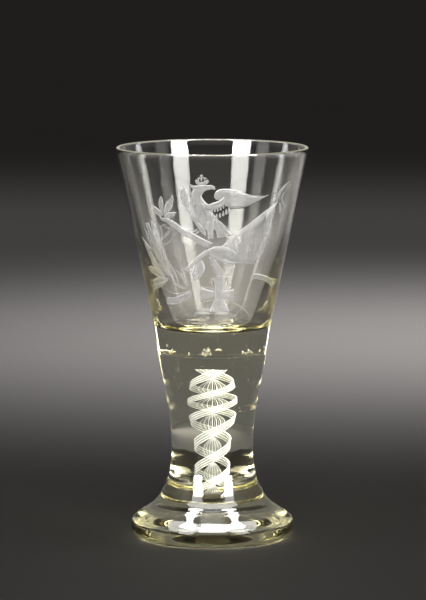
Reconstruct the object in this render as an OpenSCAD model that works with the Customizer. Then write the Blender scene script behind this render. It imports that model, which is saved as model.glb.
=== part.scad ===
// Glass goblet with a funnel bowl, a solid stem that holds an opaque white twist, and a flared foot.
// Millimetres, +Z up, origin in the middle of the resting ring, twist and beads seen from -Y.

/* [Bowl] */
// Height of the bowl from its seam with the stem to the lip
bowl_h = 94; // [84:1:110]
// Outer radius of the lip
lip_r = 43.9; // [40:0.1:48]
// Thickness of the lip
lip_t = 1.7; // [1.2:0.1:2.6]
// Solid glass under the hollow
bowl_base_h = 11.2; // [8:0.2:15]
// Height above the seam where the straight outer side starts
funnel_start_h = 19.5; // [17:0.5:23]
// Outer radius where the straight outer side starts
funnel_start_r = 28.3; // [27.5:0.1:30]
// Thickness of the wall, measured level, where it starts to thicken
wall_t = 3.2; // [2.4:0.1:4.5]
// Height above the seam where the wall starts to thicken
wall_bend_h = 45; // [40:0.5:54]
// Radius of the hollow where its straight side starts
hollow_r = 19.8; // [18.2:0.1:21]
// Height above the hollow's floor where its straight side starts
hollow_round_h = 5.7; // [4:0.1:8]
// Radius of the hollow's flat floor
hollow_floor_r = 12.5; // [9:0.1:14.5]

/* [Stem] */
// Height of the stem between its two seams
stem_h = 64; // [60:1:72]
// Radius of the seam between bowl and stem
bowl_seam_r = 25.05; // [24:0.05:26.5]
// Radius at the narrowest place of the stem
waist_r = 18.7; // [16:0.1:20]
// Height of the narrowest place above the foot seam
waist_h = 20; // [16:0.5:24]
// Radius of the seam between stem and foot
foot_seam_r = 22.8; // [21.5:0.1:24]

/* [Foot] */
// Height of the foot from the resting ring to its seam with the stem
foot_h = 22; // [19:0.5:26]
// Largest radius of the foot
foot_r = 37.6; // [34:0.1:41]
// Height of the largest radius above the resting ring
foot_edge_h = 6.4; // [5:0.1:8]
// Outer radius of the flat resting ring
rest_r = 33.8; // [31:0.1:36]
// Width of the flat resting ring
rest_w = 3; // [2:0.1:5]
// Height of the shallow hollow under the foot
kick_h = 2.4; // [1:0.1:4]

/* [Air beads in the bowl seam] */
// Number of beads
bead_count = 15; // [6:1:20]
// Radius of the largest bead
bead_r = 0.9; // [0.5:0.1:1.3]
// Distance from the middle of a bead to the outside of the stem
bead_inset = 5; // [3:0.1:8]

/* [Twist] */
// Length of the twist above the foot seam
twist_h = 58; // [50:0.5:59.5]
// Depth by which the lower end of the twist sits in the foot
twist_sink = 5; // [2:0.5:7]
// Radius to the middle of the white bands at the lower end
band_low_r = 5.15; // [4.6:0.05:5.8]
// Radius to the middle of the white bands where the twist is widest
band_high_r = 7.3; // [6.4:0.1:8]
// Height of the widest place of the twist above the foot seam
belly_h = 42; // [38:0.5:48]
// Height of half a turn where the twist is drawn out
half_turn_h = 12.5; // [10:0.1:15]
// How much shorter half a turn is at the tightest place
tight_cut = 5; // [0:0.1:6.5]
// Height of the tightest place above the foot seam
tight_h = 44; // [34:0.5:48]
// How far the tight stretch reaches up and down
tight_reach = 9.5; // [5:0.5:12]
// Angle of the bands at their lower end, seen from above
twist_start = 335; // [0:1:360]
// Angle around the axis that each outer band covers
band_angle = 56; // [44:1:80]
// Threads in each outer band
band_threads = 7; // [4:1:8]
// Threads in the flat tape
tape_threads = 13; // [7:2:15]
// Thickness of the outer threads, measured towards the axis
band_t = 0.5; // [0.3:0.05:0.7]
// Thickness of the tape's threads
tape_t = 0.4; // [0.25:0.05:0.6]
// Distance from the edge of the tape to the middle of the outer bands
tape_margin = 2.6; // [2.2:0.1:3.2]
// Angle by which the tape runs ahead of the outer bands
tape_lead = 34; // [0:1:60]
// Gap between the core halves and the threads
core_gap = 0.15; // [0.12:0.01:0.25]
// Gap between the twist and its bore
bore_gap = 0.05; // [0.03:0.01:0.15]

/* [Hidden] */
$fn = 96;
turn_step = 18;
core_sides = 4;
flat_sides = 8;
thread_fill = 0.86;
tape_fill = 0.56;
curve_steps = 10;
bend_reach = 12;

foot_seam_z = foot_h;
bowl_seam_z = foot_h + stem_h;
lip_z = bowl_seam_z + bowl_h;
floor_z = bowl_seam_z + bowl_base_h;
rest_inner_r = rest_r - rest_w;
lip_round = lip_t / 2;
bead_ring_r = bowl_seam_r - bead_inset;
bore_steps = 18;
twist_l = twist_h + twist_sink;

// Points along a smooth curve from a to d that leaves towards b and arrives from c
function curve(a, b, c, d) = [
    for (i = [0:curve_steps])
        let (t = i / curve_steps, s = 1 - t)
            s * s * s * a + 3 * s * s * t * b + 3 * s * t * t * c + t * t * t * d
];

// Points along an arc, from one angle to another
function arc(centre, r, from, to) = [
    for (i = [0:curve_steps])
        let (w = from + (to - from) * i / curve_steps)
            [centre[0] + r * cos(w), centre[1] + r * sin(w)]
];

// Slopes of the straight sides and of the stem at its upper seam, radius over height
funnel_slope = (lip_r - funnel_start_r) / (bowl_h - funnel_start_h);
hollow_top_r = lip_r - lip_t;
bend_z = bowl_seam_z + wall_bend_h;
bend_share = (wall_bend_h - funnel_start_h) / (bowl_h - lip_round - funnel_start_h);
bend_r = funnel_start_r + (lip_r - funnel_start_r) * bend_share - wall_t;
wall_slope = (hollow_top_r - bend_r) / (lip_z - lip_round - bend_z);
hollow_slope = (bend_r - hollow_r) / (bend_z - floor_z - hollow_round_h);
stem_slope = (bowl_seam_r - waist_r) / (stem_h - waist_h) * 1.28;
upper_reach = (stem_h - waist_h) / 3;
lower_reach = waist_h / 2;

// Outside of the bowl from the seam to the lip
function bowl_outside() = concat(
    curve(
        [bowl_seam_r, bowl_seam_z],
        [bowl_seam_r + stem_slope * funnel_start_h / 3, bowl_seam_z + funnel_start_h / 3],
        [funnel_start_r - funnel_slope * funnel_start_h / 3, bowl_seam_z + funnel_start_h * 2 / 3],
        [funnel_start_r, bowl_seam_z + funnel_start_h]
    ),
    arc([lip_r - lip_round, lip_z - lip_round], lip_round, 0, 180)
);

// Hollow of the bowl from the lip down to the axis
function bowl_inside() = concat(
    curve(
        [bend_r + wall_slope * bend_reach, bend_z + bend_reach],
        [bend_r + wall_slope * bend_reach * 0.4, bend_z + bend_reach * 0.4],
        [bend_r - hollow_slope * bend_reach * 0.4, bend_z - bend_reach * 0.4],
        [bend_r - hollow_slope * bend_reach, bend_z - bend_reach]
    ),
    curve(
        [hollow_r, floor_z + hollow_round_h],
        [hollow_r - hollow_slope * hollow_round_h / 2, floor_z + hollow_round_h / 2],
        [(hollow_r + hollow_floor_r) / 2 + hollow_round_h / 5, floor_z],
        [hollow_floor_r, floor_z]
    ),
    [[0, floor_z]]
);

// Outside of the stem from the foot seam to the bowl seam
function stem_outside() = concat(
    curve(
        [foot_seam_r, foot_seam_z],
        [waist_r + (foot_seam_r - waist_r) * 0.32, foot_seam_z + waist_h / 4],
        [waist_r, foot_seam_z + lower_reach],
        [waist_r, foot_seam_z + waist_h]
    ),
    curve(
        [waist_r, foot_seam_z + waist_h],
        [waist_r, foot_seam_z + waist_h + upper_reach],
        [bowl_seam_r - stem_slope * upper_reach, bowl_seam_z - upper_reach],
        [bowl_seam_r, bowl_seam_z]
    )
);

// Outside of the foot from the resting ring to the stem seam
function foot_outside() = concat(
    curve(
        [rest_r, 0],
        [rest_r + (foot_r - rest_r) * 0.75, 0],
        [foot_r, foot_edge_h * 0.32],
        [foot_r, foot_edge_h]
    ),
    curve(
        [foot_r, foot_edge_h],
        [foot_r, foot_edge_h + (foot_h - foot_edge_h) * 0.34],
        [foot_r - (foot_r - foot_seam_r) * 0.76, foot_h - (foot_h - foot_edge_h) * 0.6],
        [foot_seam_r, foot_h]
    )
);

// Shallow hollow under the foot from the axis to the resting ring
function foot_under() = curve(
    [0, kick_h],
    [rest_inner_r * 0.4, kick_h],
    [rest_inner_r * 0.8, kick_h * 0.25],
    [rest_inner_r, 0]
);

// Middle radius of the outer bands at a height above the foot seam, widest at the belly
function band_r(h) = band_low_r + (band_high_r - band_low_r) * pow((1 - cos(180 * h / belly_h)) / 2, 4);

// Outline of the bore that holds the twist, from the axis out and up
function bore_outline() = concat(
    [[0, foot_seam_z - twist_sink]],
    [
        for (i = [0:bore_steps])
            let (h = twist_l * i / bore_steps - twist_sink)
                [band_r(h) + band_t / 2 + bore_gap, foot_seam_z + h]
    ],
    [[0, foot_seam_z + twist_h]]
);

// Height of half a turn at a height above the foot seam
function half_turn(h) = half_turn_h - tight_cut * exp(-pow((h - tight_h) / tight_reach, 2));

// Rings of the twist, each as height above the foot seam and angle, with equal turns between them
ring_list = [
    for (
        h = -twist_sink, w = twist_start, last = false;
        !last;
        last = h >= twist_h,
        w = w + 180 * (min(twist_h, h + turn_step * half_turn(h) / 180) - h) / half_turn(h),
        h = min(twist_h, h + turn_step * half_turn(h) / 180)
    )
        [h, w]
];

// A flat section turned with the twist and lifted to its ring
function ring_points(section, ring) = [
    for (p = section)
        [
            p[0] * cos(ring[1]) - p[1] * sin(ring[1]),
            p[0] * sin(ring[1]) + p[1] * cos(ring[1]),
            foot_seam_z - twist_sink + bore_gap + (ring[0] + twist_sink) * (twist_l - 2 * bore_gap) / twist_l
        ]
];

// Section of one outer thread, a small rhomb on the band's radius
function band_section(h, middle, half_angle) =
    let (r = band_r(h), t = band_t / 2)
        [
            [(r + t) * cos(middle), (r + t) * sin(middle)],
            [r * cos(middle + half_angle), r * sin(middle + half_angle)],
            [(r - t) * cos(middle), (r - t) * sin(middle)],
            [r * cos(middle - half_angle), r * sin(middle - half_angle)]
        ];

// Section of one tape thread, a small rhomb on the tape's plane
function tape_section(h, place) =
    let (half_w = band_r(h) - tape_margin, u = half_w * place, t = tape_t / 2)
        let (side = half_w / (tape_threads - 1) * tape_fill)
            [[u + side, 0], [u, t], [u - side, 0], [u, -t]];

// Section of one core half, the part of a disc on one side of the tape
function core_section(h) =
    let (r = band_r(h) - band_t / 2 - core_gap, v = tape_t / 2 + core_gap)
        let (edge = asin(v / r), u = r * cos(edge))
            concat(
                [for (i = [0:core_sides]) core_rim(r, 90 + (90 - edge) * i / core_sides)],
                [for (i = [1:flat_sides - 1]) [-u + 2 * u * i / flat_sides, v]],
                [for (i = [0:core_sides - 1]) core_rim(r, edge + (90 - edge) * i / core_sides)]
            );

// Point on the round side of a core half
function core_rim(r, w) = [r * cos(w), r * sin(w)];

// Closed body through a stack of rings with the same number of points
module stacked(rings) {
    sides = len(rings[0]);
    top = len(rings) - 1;
    polyhedron(
        points = [for (ring = rings) for (p = ring) p],
        faces = concat(
            [[for (k = [0:sides - 1]) k]],
            [
                for (i = [0:top - 1]) for (k = [0:sides - 1])
                    let (n = (k + 1) % sides)
                        [i * sides + k, (i + 1) * sides + k, i * sides + n]
            ],
            [
                for (i = [0:top - 1]) for (k = [0:sides - 1])
                    let (n = (k + 1) % sides)
                        [i * sides + n, (i + 1) * sides + k, (i + 1) * sides + n]
            ],
            [[for (k = [sides - 1:-1:0]) top * sides + k]]
        )
    );
}

// Air beads trapped in the seam, uneven in size and place
module beads() {
    for (i = [0:bead_count - 1]) {
        r = bead_r * (0.75 + 0.25 * sin(i * 131));
        w = 360 * (i + 0.3 * sin(i * 77)) / bead_count;
        rotate([0, 0, w])
            translate([bead_ring_r + 0.9 * cos(i * 59), 0, bowl_seam_z])
                sphere(r = r, $fn = 24);
    }
}

module bowl() {
    color([0.93, 0.94, 0.86, 0.4])
        difference() {
            rotate_extrude()
                polygon(concat([[0, bowl_seam_z]], bowl_outside(), bowl_inside()));
            beads();
        }
}

module stem() {
    color([0.93, 0.94, 0.86, 0.4])
        difference() {
            rotate_extrude()
                polygon(concat([[0, foot_seam_z]], stem_outside(), [[0, bowl_seam_z]]));
            rotate_extrude()
                polygon(bore_outline());
            beads();
        }
}

module foot() {
    color([0.92, 0.93, 0.84, 0.4])
        difference() {
            rotate_extrude()
                polygon(concat(foot_under(), foot_outside(), [[0, foot_h]]));
            rotate_extrude()
                polygon(bore_outline());
        }
}

module core_half(turned) {
    color([0.94, 0.95, 0.9, 0.5])
        stacked([for (g = ring_list) ring_points(core_section(g[0]), [g[0], g[1] + tape_lead + turned])]);
}

module band_thread(turned, i) {
    gap = band_angle / (band_threads - 1);
    middle = turned - band_angle / 2 + gap * (i - 1);
    color([0.95, 0.94, 0.9])
        stacked([for (g = ring_list) ring_points(band_section(g[0], middle, gap * thread_fill / 2), g)]);
}

module tape_thread(i) {
    place = 2 * (i - 1) / (tape_threads - 1) - 1;
    color([0.95, 0.94, 0.9])
        stacked([for (g = ring_list) ring_points(tape_section(g[0], place), [g[0], g[1] + tape_lead])]);
}

bowl();
stem();
foot();
core_half(0);  // core_half_a
core_half(180);  // core_half_b
for (i = [1:band_threads]) band_thread(0, i);
for (i = [1:band_threads]) band_thread(180, i);
for (i = [1:tape_threads]) tape_thread(i);
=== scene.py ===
"""Clear glass goblet with a white twist in its stem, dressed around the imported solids."""

import logging
import math
from dataclasses import dataclass, field
from enum import Enum

import bpy
import numpy as np
from bpy.types import Material, NodeSocket, Object
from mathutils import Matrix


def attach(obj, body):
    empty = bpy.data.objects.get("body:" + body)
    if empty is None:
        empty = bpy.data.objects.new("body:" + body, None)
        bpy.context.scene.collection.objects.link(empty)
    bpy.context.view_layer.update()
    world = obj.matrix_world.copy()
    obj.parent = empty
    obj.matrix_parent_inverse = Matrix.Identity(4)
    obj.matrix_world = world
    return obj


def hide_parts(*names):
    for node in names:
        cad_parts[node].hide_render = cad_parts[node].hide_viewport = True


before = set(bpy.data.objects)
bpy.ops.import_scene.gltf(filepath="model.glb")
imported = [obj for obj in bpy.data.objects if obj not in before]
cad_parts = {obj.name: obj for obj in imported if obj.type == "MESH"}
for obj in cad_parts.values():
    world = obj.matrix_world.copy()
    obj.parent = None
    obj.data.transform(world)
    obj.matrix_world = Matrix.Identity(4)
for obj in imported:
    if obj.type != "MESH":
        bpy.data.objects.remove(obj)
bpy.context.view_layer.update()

MM = 0.001
LOG = logging.getLogger("goblet")


class Slot(Enum):
    """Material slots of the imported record."""

    CLEAR = "clear_glass"
    WHITE = "white_glass"


# Curves and surfaces


def bezier(a: tuple, b: tuple, c: tuple, d: tuple, steps: int) -> np.ndarray:
    """Smooth curve from a to d that leaves towards b and arrives from c.

    The point at t is the sum of the four points, weighted by the terms of (1 - t + t) cubed.

    Args:
        a: First point, radius and height.
        b: Control point next to a.
        c: Control point next to d.
        d: Last point.
        steps: Number of stretches between points.

    Returns:
        Array of steps + 1 points.
    """
    t = np.linspace(0.0, 1.0, steps + 1)[:, None]
    s = 1.0 - t
    a, b, c, d = (np.asarray(p, float) for p in (a, b, c, d))
    return s**3 * a + 3 * s**2 * t * b + 3 * s * t**2 * c + t**3 * d


def arc(centre: tuple, radius: float, start: float, end: float, steps: int) -> np.ndarray:
    """Points at equal angles on a circle, from a first to a last angle in degrees."""
    w = np.radians(np.linspace(start, end, steps + 1))
    return np.stack([centre[0] + radius * np.cos(w), centre[1] + radius * np.sin(w)], axis=1)


def straight(a: tuple, b: tuple, steps: int) -> np.ndarray:
    """Points at equal distances on the line from a to b, with both ends."""
    return np.linspace(np.asarray(a, float), np.asarray(b, float), steps + 1)


def join(*parts: np.ndarray) -> np.ndarray:
    """Puts stretches of an outline end to end, each without the point shared with the one before."""
    return np.concatenate([parts[0]] + [p[1:] for p in parts[1:]])


def held(curve: np.ndarray, width: float = 0.03) -> np.ndarray:
    """Adds a point just after a stretch's start, which keeps a seam's edge crisp under smooth shading."""
    step = curve[1] - curve[0]
    return np.insert(curve, 1, curve[0] + step * width / np.linalg.norm(step), axis=0)


def finer(values: np.ndarray, steps: int) -> np.ndarray:
    """Fills in a path with a smooth curve through its points.

    Between two points the curve is the cubic whose slope at each point is half the difference of its
    neighbours.

    Args:
        values: Path points, one row each.
        steps: Number of stretches that replace each stretch of the path.

    Returns:
        The longer path.
    """
    padded = np.concatenate([2 * values[:1] - values[1:2], values, 2 * values[-1:] - values[-2:-1]])
    p0, p1, p2, p3 = (p[:, None] for p in (padded[:-3], padded[1:-2], padded[2:-1], padded[3:]))
    t = (np.arange(steps) / steps)[None, :, None]
    bent = (2 * p0 - 5 * p1 + 4 * p2 - p3) * t**2 + (3 * p1 - p0 - 3 * p2 + p3) * t**3
    curve = 0.5 * (2 * p1 + (p2 - p0) * t + bent)
    return np.concatenate([curve.reshape(-1, values.shape[1]), values[-1:]])


@dataclass
class Surface:
    """Vertices and faces of a piece, in metres. Fused faces lie against another piece's glass."""

    points: np.ndarray
    quads: np.ndarray
    triangles: np.ndarray = field(default_factory=lambda: np.zeros((0, 3), int))
    fused: np.ndarray | None = None
    uv: np.ndarray | None = None

    def __post_init__(self) -> None:
        """Takes every face as free where nothing else is said."""
        if self.fused is None:
            self.fused = np.zeros(len(self.quads) + len(self.triangles), bool)

    def faces(self) -> list:
        """All faces, the quads first."""
        return self.quads.tolist() + self.triangles.tolist()

    def joined(self, other: "Surface") -> "Surface":
        """This surface and another as islands of one surface."""
        shift = len(self.points)
        marks = [np.split(s.fused, [len(s.quads)]) for s in (self, other)]
        return Surface(
            np.concatenate([self.points, other.points]),
            np.concatenate([self.quads, other.quads + shift]),
            np.concatenate([self.triangles, other.triangles + shift]),
            np.concatenate([mark[kind] for kind in range(2) for mark in marks]),
        )


def capped(rings: np.ndarray, low: np.ndarray, high: np.ndarray) -> Surface:
    """Closes rings of points into a surface, with a fan of triangles from a pole at each end.

    The faces point outwards where the rings go up and run to the left, seen from above.

    Args:
        rings: Points by ring and by place around.
        low: Pole before the first ring.
        high: Pole after the last ring.

    Returns:
        The surface, with the points of all rings and then both poles.
    """
    count, sides = rings.shape[:2]
    i, around = np.meshgrid(np.arange(count - 1), np.arange(sides), indexing="ij")
    here, onward = i * sides + around, i * sides + (around + 1) % sides
    quads = np.stack([here, onward, onward + sides, here + sides], axis=-1)
    here, onward, last = here[0], onward[0], (count - 1) * sides
    poles = np.repeat([count * sides, count * sides + 1], sides).reshape(2, sides)
    start_fan = np.stack([poles[0], onward, here], axis=1)
    end_fan = np.stack([poles[1], last + here, last + onward], axis=1)
    points = np.concatenate([rings.reshape(-1, 3), [low, high]])
    return Surface(points, quads.reshape(-1, 4), np.concatenate([start_fan, end_fan]))


def revolved(outline: np.ndarray, columns: int, fused: tuple[int, ...] = ()) -> Surface:
    """Turns an outline about the axis.

    A point at angle w is (r cos w, r sin w, z). The outline starts and ends on the axis, and it runs from
    below outwards and up, so the faces point outwards.

    Args:
        outline: Radius and height of each point in millimetres, the first and last at radius 0.
        columns: Number of faces around the axis.
        fused: Stretches of the outline that are fused to the next piece, counted from its start or its end.

    Returns:
        The closed surface.
    """
    w = np.arange(columns) * (2 * np.pi / columns)
    r, z = outline[:, :1] * MM, np.repeat(outline[:, 1:] * MM, columns, axis=1)
    points = np.stack([r * np.cos(w), r * np.sin(w), z], axis=-1)
    made = capped(points[1:-1], points[0, 0], points[-1, 0])
    mark = np.zeros(len(outline) - 1, bool)
    mark[list(fused)] = True
    made.fused = np.repeat(np.concatenate([mark[1:-1], mark[:1], mark[-1:]]), columns)
    return made


def voids(rows: tuple, base_z: float, flat: float = 0.9) -> Surface:
    """Small round voids inside the glass, with faces that point into the void.

    A void's point is its middle + radius * (cos a cos b, cos a sin b, flat sin a).

    Args:
        rows: Angle to the right of the front, distance from the axis, height over the base, and radius.
        base_z: Height of the base.
        flat: Height of a void over its width.

    Returns:
        The voids as islands of one surface.
    """
    turn, ring, rise, size = np.array(rows, float).T
    turn = np.radians(turn)
    middle = np.stack([ring * np.sin(turn), -ring * np.cos(turn), base_z + rise], axis=1)
    side = arc((0, 0), 1, -75, 75, steps=8) * (1, flat)
    ball = revolved(np.concatenate([[[0, -flat]], side, [[0, flat]]]), columns=14)
    points = middle[:, None] * MM + size[:, None, None] * ball.points
    shift = (np.arange(len(turn)) * len(ball.points))[:, None, None]
    return Surface(
        points.reshape(-1, 3),
        (ball.quads[:, ::-1] + shift).reshape(-1, 4),
        (ball.triangles[:, ::-1] + shift).reshape(-1, 3),
    )


def tube(centres: np.ndarray, out: np.ndarray, along: np.ndarray, sides: int) -> Surface:
    """Carries a flat oval section along a path and closes both ends.

    A point of a section is the centre + out * cos(v) + along * sin(v), with v all the way round.

    Args:
        centres: Path points, one row each, in metres, going up.
        out: Half of the section's first axis at each path point.
        along: Half of its second axis, to the left of the first seen from above.
        sides: Number of points in a section.

    Returns:
        The closed tube.
    """
    v = (np.arange(sides) * (2 * np.pi / sides))[:, None]
    rings = centres[:, None] + out[:, None] * np.cos(v) + along[:, None] * np.sin(v)
    return capped(rings, centres[0], centres[-1])


# Shader graphs


class Value:
    """A shader socket that can be used in Python expressions."""

    def __init__(self, graph: "Graph", socket: NodeSocket) -> None:
        """Keeps the socket and the graph that it belongs to."""
        self.graph = graph
        self.socket = socket

    def _maths(self, operation: str, first: "Value | float", second: "Value | float") -> "Value":
        """Result of one Math node."""
        node = self.graph.node("ShaderNodeMath", {"operation": operation}, {0: first, 1: second})
        return Value(self.graph, node.outputs[0])

    def __add__(self, other: "Value | float") -> "Value":
        """Sum."""
        return self._maths("ADD", self, other)

    __radd__ = __add__

    def __sub__(self, other: "Value | float") -> "Value":
        """Difference."""
        return self._maths("SUBTRACT", self, other)

    def __rsub__(self, other: float) -> "Value":
        """Difference from a number."""
        return self._maths("SUBTRACT", other, self)

    def __mul__(self, other: "Value | float") -> "Value":
        """Product."""
        return self._maths("MULTIPLY", self, other)

    __rmul__ = __mul__

    def __pow__(self, other: float) -> "Value":
        """Power."""
        return self._maths("POWER", self, other)

    def __abs__(self) -> "Value":
        """Size without sign."""
        return self._maths("ABSOLUTE", self, 0.0)

    def smooth(self, low: float, high: float) -> "Value":
        """Soft step from 0 at low to 1 at high."""
        inputs = {0: self, 1: low, 2: high, 3: 0.0, 4: 1.0}
        node = self.graph.node("ShaderNodeMapRange", {"interpolation_type": "SMOOTHSTEP"}, inputs)
        return Value(self.graph, node.outputs[0])

    def band(self, start: float, full: float, fall: float, end: float) -> "Value":
        """Soft band that grows from 0 at start to 1 at full, and goes from 1 at fall to 0 at end."""
        return self.smooth(start, full) * (1.0 - self.smooth(fall, end))


class Graph:
    """The node tree of one material."""

    def __init__(self, name: str) -> None:
        """Makes an empty material with that name."""
        self.material = bpy.data.materials.new(name)
        self.material.use_nodes = True
        self.tree = self.material.node_tree
        self.tree.nodes.clear()
        self.output = self.node("ShaderNodeOutputMaterial")

    def node(self, kind: str, settings: dict | None = None, inputs: dict | None = None) -> bpy.types.Node:
        """Adds a node.

        Args:
            kind: Blender's name for the node type.
            settings: Properties, set before the sockets.
            inputs: Values, expressions or sockets by socket name or number.

        Returns:
            The node.
        """
        made = self.tree.nodes.new(kind)
        for key, value in (settings or {}).items():
            setattr(made, key, value)
        for key, value in (inputs or {}).items():
            self.feed(made.inputs[key], value)
        return made

    def feed(self, socket: NodeSocket, value: object) -> None:
        """Links an expression or a socket, or sets a number, vector or colour.

        Args:
            socket: The input to fill.
            value: What goes into it.
        """
        if isinstance(value, Value):
            value = value.socket
        if isinstance(value, NodeSocket):
            self.tree.links.new(value, socket)
        else:
            socket.default_value = (*value, 1.0) if socket.type == "RGBA" else value

    def shader(self, kind: str, **inputs: object) -> NodeSocket:
        """Result of a shader node, with its inputs by socket name and an underscore for each space."""
        named = {key.replace("_", " "): value for key, value in inputs.items()}
        return self.node("ShaderNode" + kind, None, named).outputs[0]

    def blend(self, share: object, low: object, high: object) -> NodeSocket:
        """Shader between two shaders, low at share 0 and high at share 1."""
        return self.node("ShaderNodeMixShader", None, {0: share, 1: low, 2: high}).outputs[0]

    def mixed(self, share: Value, low: object, high: object) -> NodeSocket:
        """Colour between two colours, low at share 0 and high at share 1."""
        return self.node("ShaderNodeMix", {"data_type": "RGBA"}, {0: share, 6: low, 7: high}).outputs[2]

    def coordinates(self, kind: str) -> NodeSocket:
        """Texture coordinates, Object or UV."""
        return self.node("ShaderNodeTexCoord").outputs[kind]

    def part(self, where: object, name: str) -> Value:
        """One of the X, Y and Z parts of a vector."""
        return Value(self, self.node("ShaderNodeSeparateXYZ", None, {0: where}).outputs[name])

    def millimetres(self, where: object, name: str) -> Value:
        """One of the X, Y and Z parts of a place, in millimetres."""
        return self.part(where, name) * (1 / MM)

    def noise(self, where: object, scale: float, detail: float) -> Value:
        """Soft noise around 0.5, with so many waves to the metre and so many octaves."""
        made = self.node("ShaderNodeTexNoise", None, {"Vector": where, "Scale": scale, "Detail": detail})
        return Value(self, made.outputs["Fac"])

    def bump(self, height: Value, strength: float, distance: float) -> NodeSocket:
        """Normal that follows a height in units of the distance, by the share of its strength."""
        inputs = {"Strength": strength, "Distance": distance, "Height": height}
        return self.node("ShaderNodeBump", None, inputs).outputs["Normal"]

    def finish(self, surface: object, volume: object = None) -> Material:
        """Links the output and returns the material."""
        self.feed(self.output.inputs["Surface"], surface)
        if volume is not None:
            self.feed(self.output.inputs["Volume"], volume)
        return self.material


# Finishes


@dataclass(frozen=True)
class ClearGlass:
    """Thick hand-made glass with a faint olive tint that grows with the path of the light.

    Waves, heights and depths are in millimetres, and scales in waves to the metre.
    """

    name: str
    bowl: "Bowl"
    tint: tuple = (0.99, 0.988, 0.975)
    streak: tuple = (0.975, 0.974, 0.945)
    streak_scale: float = 55.0
    streak_band: tuple = (0.35, 0.75)
    rough: float = 0.012
    rough_band: tuple = (0.5, 0.9)
    index: float = 1.51
    absorb: tuple = (0.91, 0.85, 0.365)
    density: float = 10.5
    shade: tuple = (0.86, 0.86, 0.83)
    wave: float = 0.12
    wave_share: float = 0.35
    wave_scale: float = 38.0
    uneven: float = 0.9
    uneven_scale: float = 190.0
    uneven_z: tuple = (90.0, 96.5, 98.5, 103.0)
    # Painted glow: emission on the lip that stands in for light carried up the glass wall to the rim.
    painted_lip_glow: tuple = (0.40, 0.385, 0.29)
    lip_z: tuple = (179.3, 179.9)
    film: float = 0.06
    film_colour: tuple = (0.82, 0.77, 0.74)
    film_depth: tuple = (1.2, 3.0)
    film_z: tuple = (96.6, 102.5, 104.0, 145.0)

    def film_share(self, graph: Graph, where: NodeSocket) -> Value:
        """Share of the dull film in the hollow, most at its bottom and none near the lip or outside.

        The depth of a place is the radius of the bowl's straight side at its height, less its own radius.

        Args:
            graph: The material's graph.
            where: Object coordinates.

        Returns:
            The share.
        """
        x, y, z = (graph.millimetres(where, name) for name in "XYZ")
        side = self.bowl.funnel_r + (z - self.bowl.funnel_z) * self.bowl.funnel_slope
        depth = side - (x * x + y * y) ** 0.5
        return depth.smooth(*self.film_depth) * z.band(*self.film_z) * self.film

    def material(self) -> Material:
        """Glass with faint streaks and waves, which dims lamps instead of casting a black shadow. Its lip has
        a painted glow.
        """
        g = Graph(self.name)
        where = g.coordinates("Object")
        z = g.millimetres(where, "Z")
        streaks = g.noise(where, self.streak_scale, 3.0)
        uneven = g.noise(where, self.uneven_scale, 1.0) * z.band(*self.uneven_z) * self.uneven
        glass = g.shader(
            "BsdfPrincipled",
            Base_Color=g.mixed(streaks.smooth(*self.streak_band), self.tint, self.streak),
            Roughness=streaks.smooth(*self.rough_band) * self.rough,
            IOR=self.index,
            Transmission_Weight=1.0,
            # Painted glow on the lip only, set by height; the glass is not a lamp.
            Emission_Color=g.mixed(z.smooth(*self.lip_z), (0.0, 0.0, 0.0), self.painted_lip_glow),
            Emission_Strength=1.0,
            Normal=g.bump(g.noise(where, self.wave_scale, 1.0) + uneven, self.wave_share, self.wave * MM),
        )
        dull = g.shader("BsdfDiffuse", Color=self.film_colour)
        inside = g.blend(self.film_share(g, where), glass, dull)
        shadow_ray = g.node("ShaderNodeLightPath").outputs["Is Shadow Ray"]
        skin = g.blend(shadow_ray, inside, g.shader("BsdfTransparent", Color=self.shade))
        seam = g.node("ShaderNodeAttribute", {"attribute_name": "seam"}).outputs["Fac"]
        whole = g.blend(seam, skin, g.shader("BsdfTransparent", Color=(1.0, 1.0, 1.0)))
        return g.finish(whole, g.shader("VolumeAbsorption", Color=self.absorb, Density=self.density))


@dataclass(frozen=True)
class WhiteGlass:
    """Opaque white threads, a little uneven along their length, with a faint painted glow. The grain is in
    millimetres.
    """

    name: str = "opaque_white_thread"
    bright: tuple = (0.74, 0.76, 0.82)
    dull: tuple = (0.60, 0.62, 0.67)
    # Painted glow: emission that stands in for light scattered through the white glass from all sides.
    painted_glow: float = 0.16
    painted_glow_colour: tuple = (0.90, 0.93, 1.0)
    patch_scale: float = 420.0
    patch_band: tuple = (0.45, 0.8)
    rough: float = 0.35
    rough_patch: float = 0.2
    gloss: float = 0.08
    grain: float = 0.1
    grain_share: float = 0.2
    grain_scale: float = 1500.0

    def material(self) -> Material:
        """White glass with soft uneven patches and a faint painted glow."""
        g = Graph(self.name)
        where = g.coordinates("Object")
        patches = g.noise(where, self.patch_scale, 3.0)
        glass = g.shader(
            "BsdfPrincipled",
            Base_Color=g.mixed(patches.smooth(*self.patch_band), self.bright, self.dull),
            Roughness=self.rough + self.rough_patch * patches,
            Specular_IOR_Level=self.gloss,
            Emission_Color=self.painted_glow_colour,
            Emission_Strength=self.painted_glow,
            Normal=g.bump(g.noise(where, self.grain_scale, 1.0), self.grain_share, self.grain * MM),
        )
        return g.finish(glass)


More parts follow.
